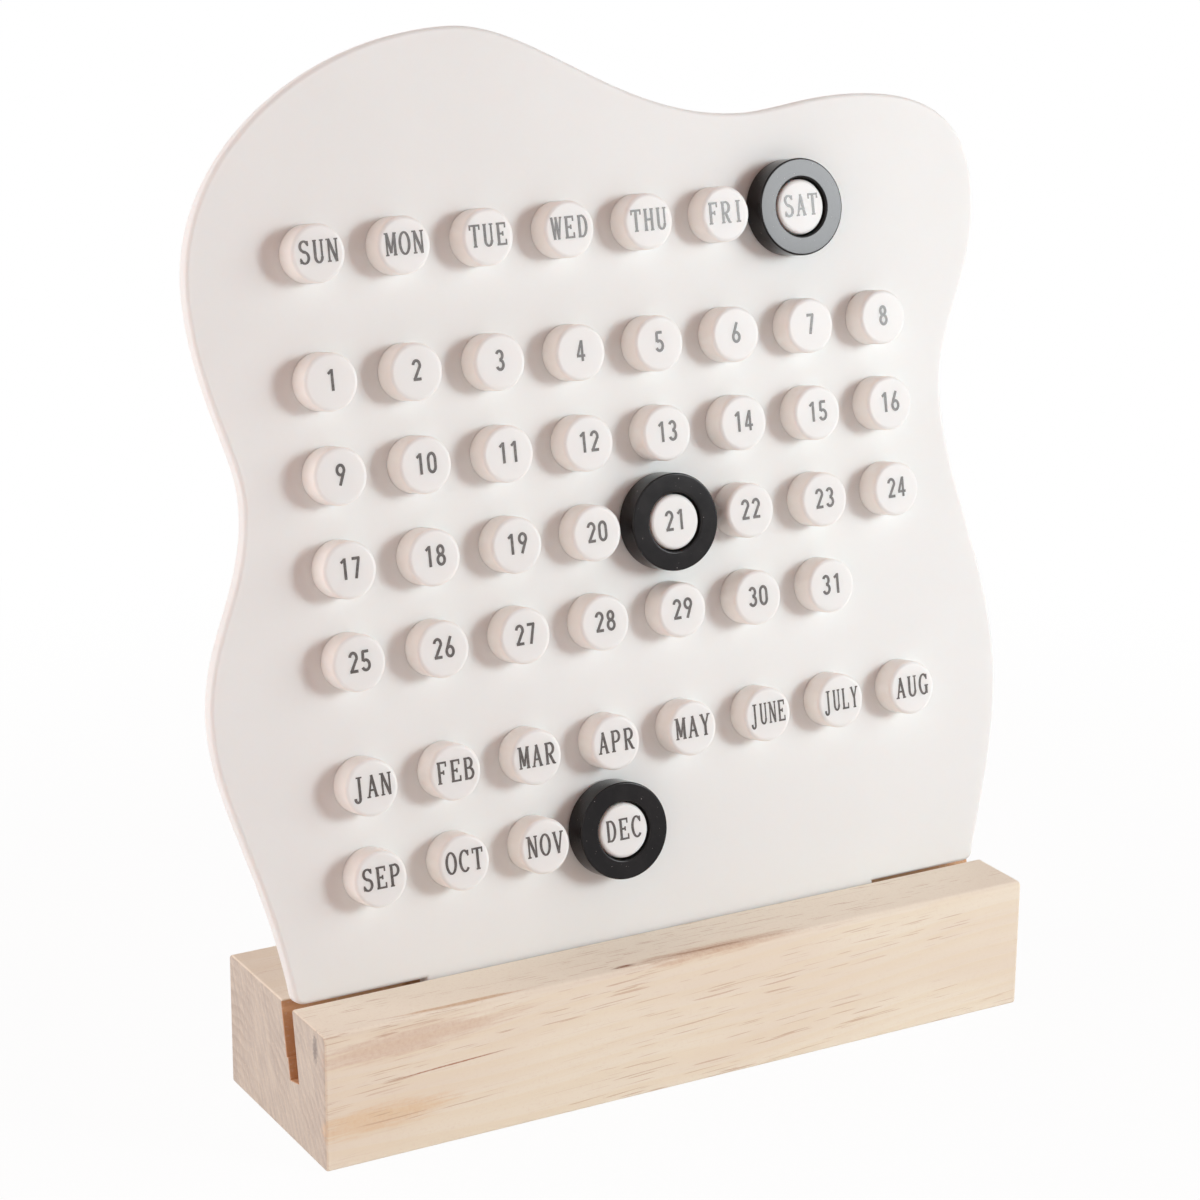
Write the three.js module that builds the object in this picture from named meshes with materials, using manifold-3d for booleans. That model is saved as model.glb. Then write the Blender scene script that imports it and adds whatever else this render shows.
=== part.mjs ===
// Perpetual desk calendar: a wavy white board of printed pegs stands, leaning back, in a slotted
// pine block. Three black rings lift off the pegs to mark the weekday, the date and the month.
// Millimetres, +Z up, the front towards -Y. The origin is the centre of the block's underside.

import * as THREE from 'three';
import { mergeVertices } from 'three/addons/utils/BufferGeometryUtils.js';
import Module from 'manifold-3d';

const wasm = await Module();
wasm.setup();

// Pine block
const blockLength = 181;
const blockDepth = 50.5;
const blockHeight = 31.2;
const blockTopRadius = 1.5;
const blockEndEasing = 0.5;

// How the board stands in the block
const boardLeanDegrees = 11.4;
const boardSetback = 17.2;
const boardSideOffset = 0.9;

// Board: its height is measured along the board, from the top of the block
const boardWidth = 205;
const boardHeight = 205;
const boardThickness = 4;
const boardEdgeRadius = 1;
const shoulderRadius = 3;
const tongueWidth = 118;
const tongueDepth = 16.4;
const tongueCornerRadius = 2;

// Slot, measured along the leaning board
const slotGripHeight = 5;
const slotLedgeWidth = 0.6;
const slotMouthFlare = 0.9;

// Pegs: of the board's height that the rows leave free, a share lies under the lowest row
const pegPitch = 20;
const pegGroupStep = 27;
const freeBelowShare = 0.356;
const pegRadius = 6.25;
const pegHeight = 6.4;
const pegEdgeRadius = 1;
const spigotRadius = 2.5;
const spigotLength = 2.2;

// Rings
const ringRadius = 11;
const ringHeight = 6.4;
const ringEdgeRadius = 0.4;

// Clearances, and how far a cutter runs past the face that it opens
const seatClearance = 0.3;
const ringClearance = 0.4;
const cutOverrun = 1;

// Counts and smoothness
const pegColumns = 8;
const pegSides = 20;
const pegHoleSides = 12;
const ringSides = 32;
const waveSteps = 8;
const cornerSteps = 3;
const bevelSteps = 2;

// The board's wavy edge, clockwise from above its lower left corner to above its lower right one.
// Places are shares of the half width and of the height; the curve's reach before and after each
// point is a share of the straight distance to the neighbouring point.
const waveShares = [
  { acrossShare: -0.88, upShare: 0.015, headingDegrees: 97, beforeShare: 0, afterShare: 0.45 },
  { acrossShare: -1, upShare: 0.3, headingDegrees: 90, beforeShare: 0.28, afterShare: 0.4 },
  { acrossShare: -0.878, upShare: 0.534, headingDegrees: 90, beforeShare: 0.4, afterShare: 0.22 },
  { acrossShare: -0.955, upShare: 0.745, headingDegrees: 90, beforeShare: 0.45, afterShare: 0.36 },
  { acrossShare: -0.306, upShare: 1, headingDegrees: 0, beforeShare: 0.38, afterShare: 0.28 },
  { acrossShare: 0.4, upShare: 0.886, headingDegrees: 0, beforeShare: 0.42, afterShare: 0.3 },
  { acrossShare: 0.665, upShare: 0.898, headingDegrees: 0, beforeShare: 0.35, afterShare: 0.46 },
  { acrossShare: 1, upShare: 0.78, headingDegrees: -90, beforeShare: 0.47, afterShare: 0.4 },
  { acrossShare: 0.868, upShare: 0.545, headingDegrees: -90, beforeShare: 0.35, afterShare: 0.35 },
  { acrossShare: 0.963, upShare: 0.24, headingDegrees: -90, beforeShare: 0.38, afterShare: 0.35 },
  { acrossShare: 0.862, upShare: 0.015, headingDegrees: -108, beforeShare: 0.35, afterShare: 0 },
];

// Peg rows from the lowest up. A row that starts a new group stands a wider step above the last.
const numbered = (first, last) =>
  Array.from({ length: last - first + 1 }, (_, i) => String(first + i).padStart(2, '0'));
const pegRows = [
  { labels: ['sep', 'oct', 'nov', 'dec'], startsGroup: false },
  { labels: ['jan', 'feb', 'mar', 'apr', 'may', 'jun', 'jul', 'aug'], startsGroup: false },
  { labels: numbered(25, 31), startsGroup: true },
  { labels: numbered(17, 24), startsGroup: false },
  { labels: numbered(9, 16), startsGroup: false },
  { labels: numbered(1, 8), startsGroup: false },
  { labels: ['sun', 'mon', 'tue', 'wed', 'thu', 'fri', 'sat'], startsGroup: true },
];

const ringSeats = { weekday_ring: 'sat', date_ring: '21', month_ring: 'dec' };

// Where each peg stands, as its label and its place across and up the board
function pegPlaces() {
  const gridHalf = ((pegColumns - 1) * pegPitch) / 2;
  const steps = pegRows.slice(1).map(({ startsGroup }) => (startsGroup ? pegGroupStep : pegPitch));
  const rowsHeight = steps.reduce((sum, step) => sum + step, 0);
  let rowHeight = (boardHeight - rowsHeight) * freeBelowShare;
  const places = [];
  pegRows.forEach(({ labels }, row) => {
    if (row > 0) rowHeight += steps[row - 1];
    labels.forEach((label, column) => {
      places.push({ label, across: column * pegPitch - gridHalf, up: rowHeight });
    });
  });
  return places;
}

const places = pegPlaces();
const boardLean = THREE.MathUtils.degToRad(boardLeanDegrees);
const boardFootY = boardSetback - blockDepth / 2;

const pine = new THREE.MeshStandardMaterial({ color: 0xe2cdb2, roughness: 0.7, metalness: 0 });
const whitePlastic = new THREE.MeshStandardMaterial({ color: 0xf2efed, roughness: 0.45, metalness: 0 });
const blackPlastic = new THREE.MeshStandardMaterial({ color: 0x1d1d1f, roughness: 0.6, metalness: 0 });

// A closed outline through corners [x, y, radius], each rounded to its own radius
function roundedShape(corners) {
  const shape = new THREE.Shape();
  corners.forEach(([x, y, radius], i) => {
    const corner = new THREE.Vector2(x, y);
    const [before, after] = [i + corners.length - 1, i + 1].map((k) => {
      const [nx, ny] = corners[k % corners.length];
      return new THREE.Vector2(nx, ny).sub(corner).normalize();
    });
    const reach = radius / Math.tan(Math.acos(before.dot(after)) / 2);
    const start = corner.clone().addScaledVector(before, reach);
    const end = corner.clone().addScaledVector(after, reach);
    if (i === 0) shape.moveTo(start.x, start.y);
    else shape.lineTo(start.x, start.y);
    if (radius > 0) shape.quadraticCurveTo(x, y, end.x, end.y);
  });
  shape.closePath();
  return shape;
}

// A shape raised to a slab, with its edges rounded inside the outline and the thickness
function roundedSlab(shape, thickness, edgeRadius, curveSteps) {
  return new THREE.ExtrudeGeometry(shape, {
    depth: thickness - 2 * edgeRadius,
    curveSegments: curveSteps,
    bevelThickness: edgeRadius,
    bevelSize: edgeRadius,
    bevelOffset: -edgeRadius,
    bevelSegments: bevelSteps,
  }).translate(0, 0, edgeRadius);
}

function toSolid(geometry) {
  const bare = geometry.clone();
  bare.deleteAttribute('normal');
  bare.deleteAttribute('uv');
  const merged = mergeVertices(bare);
  return new wasm.Manifold(new wasm.Mesh({
    numProp: 3,
    vertProperties: new Float32Array(merged.attributes.position.array),
    triVerts: new Uint32Array(merged.index.array),
  }));
}

function fromSolid(solid) {
  const { vertProperties, triVerts } = solid.getMesh();
  const geometry = new THREE.BufferGeometry();
  geometry.setAttribute('position', new THREE.BufferAttribute(new Float32Array(vertProperties), 3));
  geometry.setIndex(new THREE.BufferAttribute(new Uint32Array(triVerts), 1));
  geometry.computeVertexNormals();
  return geometry;
}

// Pine block: one section, with its slot, runs the whole length

// Where a slot wall, a distance in front of the board's front face, meets the top of the block
const wallTop = (front) => boardFootY - front / Math.cos(boardLean);

// A place in the slot: a distance in front of the board's front face and a depth along the board
function slotPoint(front, depth) {
  return [
    boardFootY - front * Math.cos(boardLean) - depth * Math.sin(boardLean),
    blockHeight + front * Math.sin(boardLean) - depth * Math.cos(boardLean),
  ];
}

function blockGeometry() {
  const halfDepth = blockDepth / 2;
  const floorDepth = tongueDepth + seatClearance;
  const ledgeDepth = floorDepth - slotGripHeight;
  const gripBack = -boardThickness - seatClearance;
  const mouthBack = gripBack - slotLedgeWidth;
  const mouthFront = seatClearance + slotMouthFlare;
  const section = roundedShape([
    [-halfDepth, 0, 0],
    [halfDepth, 0, 0],
    [halfDepth, blockHeight, blockTopRadius],
    [wallTop(mouthBack), blockHeight, 0],
    [...slotPoint(mouthBack, ledgeDepth), 0],
    [...slotPoint(gripBack, ledgeDepth), 0],
    [...slotPoint(gripBack, floorDepth), 0],
    [...slotPoint(seatClearance, floorDepth), 0],
    [wallTop(mouthFront), blockHeight, 0],
    [-halfDepth, blockHeight, blockTopRadius],
  ]);
  const alongX = new THREE.Matrix4().makeBasis(
    new THREE.Vector3(0, 1, 0),
    new THREE.Vector3(0, 0, 1),
    new THREE.Vector3(1, 0, 0),
  );
  return roundedSlab(section, blockLength, blockEndEasing, cornerSteps)
    .translate(0, 0, -blockLength / 2)
    .applyMatrix4(alongX);
}

// Board: the wavy edge runs up, over and down, then the shoulders and the tongue close it

function boardShape() {
  const knots = waveShares.map((knot) => ({
    ...knot,
    place: new THREE.Vector2((knot.acrossShare * boardWidth) / 2, knot.upShare * boardHeight),
    heading: new THREE.Vector2(1, 0).rotateAround(
      new THREE.Vector2(0, 0),
      THREE.MathUtils.degToRad(knot.headingDegrees),
    ),
  }));
  const shape = new THREE.Shape();
  const first = knots[0].place;
  const last = knots[knots.length - 1].place;
  shape.moveTo(first.x, first.y);
  knots.slice(1).forEach((knot, i) => {
    const previous = knots[i];
    const distance = previous.place.distanceTo(knot.place);
    const leave = previous.place.clone().addScaledVector(previous.heading, distance * previous.afterShare);
    const arrive = knot.place.clone().addScaledVector(knot.heading, -distance * knot.beforeShare);
    shape.bezierCurveTo(leave.x, leave.y, arrive.x, arrive.y, knot.place.x, knot.place.y);
  });
  const halfTongue = tongueWidth / 2;
  shape.quadraticCurveTo(last.x, 0, last.x - shoulderRadius, 0);
  shape.lineTo(halfTongue, 0);
  shape.lineTo(halfTongue, tongueCornerRadius - tongueDepth);
  shape.quadraticCurveTo(halfTongue, -tongueDepth, halfTongue - tongueCornerRadius, -tongueDepth);
  shape.lineTo(tongueCornerRadius - halfTongue, -tongueDepth);
  shape.quadraticCurveTo(-halfTongue, -tongueDepth, -halfTongue, tongueCornerRadius - tongueDepth);
  shape.lineTo(-halfTongue, 0);
  shape.lineTo(first.x + shoulderRadius, 0);
  shape.quadraticCurveTo(first.x, 0, first.x, first.y);
  return shape;
}

// The board is built with X across it, Z up it and its front face in the plane Y = 0
function boardGeometry() {
  const upright = new THREE.Matrix4().makeRotationX(Math.PI / 2);
  const slab = roundedSlab(boardShape(), boardThickness, boardEdgeRadius, waveSteps)
    .translate(0, 0, -boardThickness)
    .applyMatrix4(upright);
  const holeDepth = spigotLength + seatClearance;
  const holeRadius = spigotRadius + seatClearance;
  const drill = new THREE.CylinderGeometry(holeRadius, holeRadius, holeDepth + cutOverrun, pegHoleSides)
    .translate(0, (holeDepth - cutOverrun) / 2, 0);
  const drilled = places.reduce(
    (board, { across, up }) => board.subtract(toSolid(drill.clone().translate(across, 0, up))),
    toSolid(slab),
  );
  return fromSolid(drilled);
}

// Peg: a round head with a softened rim on a thin spigot that presses into the board
function pegGeometry() {
  return new THREE.LatheGeometry([
    new THREE.Vector2(0, -spigotLength),
    new THREE.Vector2(spigotRadius, -spigotLength),
    new THREE.Vector2(spigotRadius, seatClearance),
    new THREE.Vector2(pegRadius, seatClearance),
    new THREE.Vector2(pegRadius, pegHeight - pegEdgeRadius),
    new THREE.Vector2(pegRadius - pegEdgeRadius, pegHeight),
    new THREE.Vector2(0, pegHeight),
  ], pegSides);
}

// Ring: a plain collar whose bore clears the peg
function ringGeometry() {
  const bore = pegRadius + ringClearance;
  const rear = seatClearance;
  const front = seatClearance + ringHeight;
  const profile = [
    new THREE.Vector2(bore, rear),
    new THREE.Vector2(ringRadius, rear),
    new THREE.Vector2(ringRadius, front - ringEdgeRadius),
    new THREE.Vector2(ringRadius - ringEdgeRadius, front),
    new THREE.Vector2(bore, front),
    new THREE.Vector2(bore, rear),
  ];
  return new THREE.LatheGeometry(profile, ringSides);
}

function namedMesh(name, geometry, material) {
  const mesh = new THREE.Mesh(geometry, material.clone());
  mesh.name = name;
  return mesh;
}

// Turned pieces are made along +Y and face the front, towards -Y
function turnedMesh(name, geometry, material, { across, up }) {
  const mesh = namedMesh(name, geometry, material);
  mesh.rotation.x = Math.PI;
  mesh.position.set(across, 0, up);
  return mesh;
}

const calendar = new THREE.Group();
calendar.add(namedMesh('wooden_base', blockGeometry(), pine));

const leaningBoard = new THREE.Group();
leaningBoard.position.set(boardSideOffset, boardFootY, blockHeight);
leaningBoard.rotation.x = -boardLean;
calendar.add(leaningBoard);

leaningBoard.add(namedMesh('calendar_board', boardGeometry(), whitePlastic));

const pegBody = pegGeometry();
for (const place of places) {
  leaningBoard.add(turnedMesh(`peg_${place.label}`, pegBody.clone(), whitePlastic, place));
}

const ringBody = ringGeometry();
for (const [name, label] of Object.entries(ringSeats)) {
  const seat = places.find((place) => place.label === label);
  leaningBoard.add(turnedMesh(name, ringBody.clone(), blackPlastic, seat));
}

export default calendar;
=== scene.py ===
"""Perpetual desk calendar: a white board of printed pegs in a slotted pine block, dressed over its frame."""

import logging
import math
from collections.abc import Callable, Iterable, Sequence
from dataclasses import dataclass, field
from enum import Enum

import bmesh
import bpy
from mathutils import Euler, Matrix, Vector
from mathutils.geometry import delaunay_2d_cdt

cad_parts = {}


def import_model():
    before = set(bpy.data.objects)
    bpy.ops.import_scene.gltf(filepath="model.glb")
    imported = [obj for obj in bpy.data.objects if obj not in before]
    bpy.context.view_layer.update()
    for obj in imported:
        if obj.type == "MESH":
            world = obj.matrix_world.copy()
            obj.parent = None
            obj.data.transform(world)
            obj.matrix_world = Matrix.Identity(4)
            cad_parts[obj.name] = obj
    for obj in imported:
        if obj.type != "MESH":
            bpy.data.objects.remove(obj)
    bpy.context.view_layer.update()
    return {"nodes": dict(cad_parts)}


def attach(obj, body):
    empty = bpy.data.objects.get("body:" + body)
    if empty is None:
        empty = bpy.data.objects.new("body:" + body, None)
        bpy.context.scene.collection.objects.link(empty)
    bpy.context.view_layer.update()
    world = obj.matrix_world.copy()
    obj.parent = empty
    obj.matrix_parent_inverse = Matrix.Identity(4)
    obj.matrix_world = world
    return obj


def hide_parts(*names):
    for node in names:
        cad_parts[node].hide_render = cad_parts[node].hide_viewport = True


LOG = logging.getLogger("desk_calendar")
MM = 0.001
JOIN_TOLERANCE = 1e-4

Colour = tuple[float, float, float]
Point = tuple[float, float]
Place = tuple[float, float, float]


# Node trees

def maths_operator(operation: str, reflected: bool = False) -> Callable[["Wire", "Value"], "Wire"]:
    """Makes a Python operator that adds a Math node.

    Args:
        operation: The Math node's operation.
        reflected: Whether the other value comes first.

    Returns:
        The operator's method.
    """
    def method(wire: "Wire", other: "Value") -> "Wire":
        """This value and another, joined by the Math node."""
        return wire.maths(operation, *((other, wire) if reflected else (wire, other)))

    return method


class Wire:
    """An output socket that takes part in Python sums, adding Math nodes as it goes."""

    def __init__(self, builder: "NodeBuilder", socket: bpy.types.NodeSocket) -> None:
        """Holds one output socket and the builder of its tree."""
        self.builder = builder
        self.socket = socket

    def out(self, name: str) -> "Wire":
        """Another output of the same node, by name."""
        return Wire(self.builder, self.socket.node.outputs[name])

    def maths(self, operation: str, *values: "Value") -> "Wire":
        """A Math node of one operation on the given values."""
        return self.builder.node("ShaderNodeMath", {"operation": operation}, dict(enumerate(values)))

    __add__, __radd__ = maths_operator("ADD"), maths_operator("ADD", reflected=True)
    __sub__, __rsub__ = maths_operator("SUBTRACT"), maths_operator("SUBTRACT", reflected=True)
    __mul__, __rmul__ = maths_operator("MULTIPLY"), maths_operator("MULTIPLY", reflected=True)
    __truediv__, __rtruediv__ = maths_operator("DIVIDE"), maths_operator("DIVIDE", reflected=True)
    __pow__ = maths_operator("POWER")
    __gt__ = maths_operator("GREATER_THAN")
    __lt__ = maths_operator("LESS_THAN")

    def fraction(self) -> "Wire":
        """What is left of this value above a whole number."""
        return self.maths("FRACT", self)

    def rounded(self) -> "Wire":
        """This value taken to the nearest whole number."""
        return self.maths("ROUND", self)

    def size(self) -> "Wire":
        """This value without its sign."""
        return self.maths("ABSOLUTE", self)

    def ramp(self, low: "Value", high: "Value") -> "Wire":
        """A soft step that goes from nought at low to one at high.

        Args:
            low: The value where the step starts.
            high: The value where the step ends.

        Returns:
            The step, between nought and one.
        """
        settings = {"interpolation_type": "SMOOTHSTEP", "clamp": True}
        sockets = {"Value": self, "From Min": low, "From Max": high, "To Min": 0.0, "To Max": 1.0}
        return self.builder.node("ShaderNodeMapRange", settings, sockets)


Value = Wire | float | int


class NodeBuilder:
    """Adds nodes to one tree, each by its type, its settings and what its sockets get."""

    def __init__(self, tree: bpy.types.NodeTree) -> None:
        """Holds a shader tree or a geometry tree and empties it."""
        self.tree = tree
        tree.nodes.clear()

    def node(self, kind: str, settings: dict[str, object] | None = None,
             sockets: dict[str | int, object] | None = None) -> Wire:
        """Adds a node, sets it up and joins its sockets.

        Args:
            kind: The node's type.
            settings: Values of the node's own, set before its sockets.
            sockets: Values or wires, by the input's name or number.

        Returns:
            The node's first output, or a wire on its first input for a node that has none.
        """
        made = self.tree.nodes.new(kind)
        for name, value in (settings or {}).items():
            setattr(made, name, value)
        for name, value in (sockets or {}).items():
            socket = made.inputs[name]
            if isinstance(value, Wire):
                self.tree.links.new(value.socket, socket)
            else:
                socket.default_value = value
        shown = [output for output in made.outputs if output.enabled]
        return Wire(self, (shown or list(made.inputs))[0])

    def parts(self, vector: Wire) -> Wire:
        """The X of a vector, whose node has Y and Z too."""
        return self.node("ShaderNodeSeparateXYZ", {}, {0: vector})

    def vector_maths(self, operation: str, *values: object) -> Wire:
        """A Vector Math node of one operation."""
        return self.node("ShaderNodeVectorMath", {"operation": operation}, dict(enumerate(values)))

    def viewed(self) -> Wire:
        """One for what is seen straight, mirrored or through something clear, nought for the light."""
        path = self.node("ShaderNodeLightPath")
        return path.out("Is Camera Ray") + path.out("Is Glossy Ray") + path.out("Is Transmission Ray")


class FinishTree(NodeBuilder):
    """The shader tree of one material, with patterns laid out in millimetres of the object."""

    def __init__(self, name: str) -> None:
        """Makes a material and empties its tree.

        Args:
            name: The material's name.
        """
        self.material = bpy.data.materials.new(name)
        self.material.use_nodes = True
        super().__init__(self.material.node_tree)
        self.place = self.node("ShaderNodeTexCoord").out("Object")

    def scaled(self, across: float, deep: float | None = None, up: float | None = None,
               turn: Place = (0.0, 0.0, 0.0)) -> Wire:
        """The object's coordinates, scaled along each axis after a turn.

        Args:
            across: Pattern units for each millimetre along X.
            deep: The same along Y, or none for as many as along X.
            up: The same along Z, or none for as many as along Y.
            turn: Degrees about each axis.

        Returns:
            The scaled coordinates.
        """
        deep = across if deep is None else deep
        up = deep if up is None else up
        angles = tuple(math.radians(angle) for angle in turn)
        scale = (across / MM, deep / MM, up / MM)
        turned = self.node("ShaderNodeMapping", {}, {"Vector": self.place, "Rotation": angles})
        return self.vector_maths("MULTIPLY", turned, scale)

    def millimetres(self, turn: Place = (0.0, 0.0, 0.0)) -> Wire:
        """The object's coordinates in millimetres, after a turn in degrees about each axis."""
        return self.scaled(1.0, turn=turn)

    def noise(self, place: Wire, detail: float = 2.0, roughness: float = 0.5) -> Wire:
        """Smooth noise about one half, with finer layers by detail, as strong as roughness."""
        sockets = {"Vector": place, "Scale": 1.0, "Detail": detail, "Roughness": roughness}
        return self.node("ShaderNodeTexNoise", {"noise_dimensions": "3D"}, sockets)

    def blend(self, factor: Value, below: object, above: object) -> Wire:
        """Two colours, each a wire or three numbers, mixed so that the factor of the second shows."""
        colours = [(*value, 1.0) if isinstance(value, tuple) else value for value in (below, above)]
        return self.node("ShaderNodeMix", {"data_type": "RGBA"}, {0: factor, 6: colours[0], 7: colours[1]})

    def bump(self, height: Wire, depth: float, below: Wire | None = None) -> Wire:
        """A Bump node that tilts the surface by a height pattern.

        Args:
            height: The pattern.
            depth: The pattern's full depth in millimetres.
            below: A coarser bump that this one lies on.

        Returns:
            The bumped normal.
        """
        sockets: dict[str | int, object] = {"Height": height, "Strength": 1.0, "Distance": depth * MM}
        if below:
            sockets["Normal"] = below
        return self.node("ShaderNodeBump", {}, sockets)

    def ended(self, shader: Wire) -> bpy.types.Material:
        """Ends the tree in a shader and hands over its material."""
        self.node("ShaderNodeOutputMaterial", {}, {"Surface": shader})
        return self.material

    def surface(self, **sockets: object) -> bpy.types.Material:
        """Ends the tree in a Principled surface.

        Args:
            sockets: Values or wires, by the input's name with underscores for spaces.

        Returns:
            The finished material.
        """
        named = {name.replace("_", " "): value for name, value in sockets.items()}
        named = {name: (*value, 1.0) if name.endswith("Color") and isinstance(value, tuple) else value
                 for name, value in named.items()}
        shader = self.node("ShaderNodeBsdfPrincipled", {}, named)
        return self.ended(shader)


# Finishes

@dataclass(frozen=True)
class WoodMark:
    """A streak or stain in the block: its centre and its reach along each axis, in millimetres."""

    centre: Place
    reach: Place
    colour: Colour
    strength: float


@dataclass(frozen=True)
class PineFinish:
    """Pale sanded pine, its grain along X: growth rings round a pith, resin lines and stains, with painted
    light on the top face and painted shade inside the slot.

    The lengths are in millimetres. The slope is the grain's turn in degrees about each axis, and the
    saw turn is that of the saw's marks. The rim is where the outer faces begin, as half the depth and
    the height. A share says how much of a colour shows where its pattern is full.
    """

    pale: Colour = (0.86, 0.8, 0.675)
    warm: Colour = (0.82, 0.715, 0.53)
    pink: Colour = (0.79, 0.685, 0.57)
    resin: Colour = (0.52, 0.31, 0.2)
    # painted light: a lighter colour laid on the top face
    top: Colour = (0.97, 0.91, 0.78)
    end: Colour = (0.51, 0.465, 0.42)
    end_dark: Colour = (0.42, 0.365, 0.32)
    # painted shade: a darker colour laid inside the slot
    cut: Colour = (0.66, 0.36, 0.17)
    ring_gap: float = 2.4
    pith: Point = (32.0, -42.0)
    slope: Place = (0.0, 2.4, 0.9)
    saw_turn: Place = (24.0, 0.0, 0.0)
    rim: Point = (24.0, 30.9)
    slot_floor: float = 1.0
    top_step: Point = (-6.0, 8.0)
    patch_share: float = 0.5
    late_share: float = 0.34
    fibre_share: float = 0.45
    top_share: float = 0.95
    top_loss_behind: float = 0.6
    cut_share: float = 0.9
    end_dark_share: float = 0.5
    fuzz_share: float = 0.42
    line_share: float = 0.5
    dullness: float = 0.6
    relief_depth: float = 0.05
    marks: tuple[WoodMark, ...] = (
        WoodMark((6.0, -23.6, 31.0), (36.0, 3.0, 2.0), (0.58, 0.36, 0.22), 0.55),
        WoodMark((4.0, -23.2, 31.2), (24.0, 0.7, 0.8), (0.42, 0.21, 0.11), 0.6),
        WoodMark((-16.8, -22.9, 31.2), (4.2, 0.8, 0.9), (0.3, 0.13, 0.06), 0.9),
        WoodMark((-57.0, -23.0, 31.2), (36.0, 1.0, 1.0), (0.64, 0.4, 0.21), 0.7),
        WoodMark((-70.0, -25.3, 26.5), (30.0, 3.0, 4.2), (0.62, 0.43, 0.32), 0.5),
        WoodMark((-61.0, -25.3, 18.5), (19.0, 1.0, 0.26), (0.42, 0.2, 0.11), 0.9),
        WoodMark((-78.0, -25.3, 10.0), (24.0, 3.0, 4.0), (0.76, 0.54, 0.32), 0.55),
        WoodMark((-90.5, -20.6, 27.0), (3.0, 1.5, 4.6), (0.2, 0.18, 0.18), 0.66),
    )

    def material(self) -> bpy.types.Material:
        """Builds the pine material.

        Returns:
            The material.
        """
        tree = FinishTree("pale_pine")
        end_mask = self._facing(tree, "X")
        late = self._late_wood(tree)
        lines = self._resin_lines(tree) * (1 - end_mask)
        fibre = tree.noise(tree.scaled(0.05, 3.4, turn=self.slope), 3.0, 0.65)
        fuzz = tree.noise(tree.scaled(1.3, 1.6), 3.0, 0.6)
        patches = tree.noise(tree.scaled(0.013, 0.06, turn=self.slope), 2.0)
        # painted light on the top face, with less of it behind the slot
        top_light = self.top_share - self._behind(tree) * self.top_loss_behind
        colour = tree.blend(patches.ramp(0.4, 0.66) * self.patch_share, self.pale, self.pink)
        colour = tree.blend(late * self.late_share, colour, self.warm)
        colour = tree.blend(fibre.ramp(0.5, 0.8) * self.fibre_share, colour, self.warm)
        colour = tree.blend(self._facing(tree, "Z") * top_light, colour, self.top)
        # painted shade inside the slot
        colour = tree.blend(self._slot_mask(tree) * (1 - end_mask) * self.cut_share, colour, self.cut)
        colour = tree.blend(self._end_tone(tree, late, end_mask), colour, self.end)
        dark = end_mask * late * patches.ramp(0.3, 0.6)
        colour = tree.blend(dark * self.end_dark_share, colour, self.end_dark)
        colour = tree.blend(fuzz.ramp(0.5, 0.78) * self.fuzz_share, colour, self.pink)
        for mark in self.marks:
            colour = tree.blend(self._mark_mask(tree, mark) * (0.45 + fuzz * 1.1), colour, mark.colour)
        colour = tree.blend(lines * self.line_share, colour, self.resin)
        relief = fibre * 0.5 + late * 0.3 + fuzz * 0.15 - lines * 0.7
        roughness = self.dullness + fibre * 0.1 + end_mask * 0.12
        normal = tree.bump(relief, self.relief_depth)
        return tree.surface(Base_Color=colour, Roughness=roughness, Normal=normal)

    @staticmethod
    def _facing(tree: FinishTree, axis: str) -> Wire:
        """One on the faces that look along an axis, nought on the others."""
        return tree.parts(tree.node("ShaderNodeNewGeometry").out("Normal")).out(axis).size().ramp(0.6, 0.95)

    def _behind(self, tree: FinishTree) -> Wire:
        """Nought on the part of the top in front of the slot, one on the part behind it, where less painted
        light goes.
        """
        return tree.parts(tree.millimetres()).out("Y").ramp(*self.top_step)

    def _end_tone(self, tree: FinishTree, late: Wire, end_mask: Wire) -> Wire:
        """How much of the end grain's own colour shows on the sawn ends."""
        saw = tree.noise(tree.scaled(0.2, 0.9, 0.12, self.saw_turn), 3.0, 0.65)
        return end_mask * (0.62 + saw.ramp(0.3, 0.7) * 0.36 - late * 0.08)

    def _slot_mask(self, tree: FinishTree) -> Wire:
        """One inside the slot, where the wood is painted darker as painted shade, nought on the outer faces.

        Args:
            tree: The tree to build in.

        Returns:
            The mask.
        """
        parts = tree.parts(tree.millimetres())
        height = parts.out("Z")
        return (parts.out("Y").size() < self.rim[0]) * (height < self.rim[1]) * (height > self.slot_floor)

    def _late_wood(self, tree: FinishTree) -> Wire:
        """The darker late wood of the growth rings.

        Args:
            tree: The tree to build in.

        Returns:
            A mask that rises slowly through each ring and falls sharply at its end.
        """
        sway = tree.noise(tree.scaled(0.007, 0.014, turn=self.slope), 2.0)
        parts = tree.parts(tree.millimetres(self.slope))
        deep = parts.out("Y") - self.pith[0]
        high = parts.out("Z") - self.pith[1]
        wobble = tree.noise(tree.scaled(0.004, 0.13, turn=self.slope), 1.0)
        reach = (deep * deep + high * high) ** 0.5 + sway * 13.0 + wobble * 3.4
        turn = (reach / self.ring_gap).fraction()
        return turn.ramp(0.15, 0.85) * (1 - turn.ramp(0.86, 0.99))

    def _resin_lines(self, tree: FinishTree) -> Wire:
        """Thin dark dashes that run with the grain, each begun at a place of its own.

        Args:
            tree: The tree to build in.

        Returns:
            The mask.
        """
        parts = tree.parts(tree.scaled(0.06, 3.2, turn=self.slope))
        stagger = 0.37
        along = parts.out("X") + (parts.out("Y") + parts.out("Z")) * stagger
        stepped = {"X": along, "Y": parts.out("Y"), "Z": parts.out("Z")}
        fine = tree.noise(tree.node("ShaderNodeCombineXYZ", {}, stepped).out("Vector"), 0.5)
        where = tree.noise(tree.scaled(0.018, 0.14, turn=self.slope), 1.0)
        return fine.ramp(0.65, 0.72) * where.ramp(0.4, 0.56)

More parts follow.
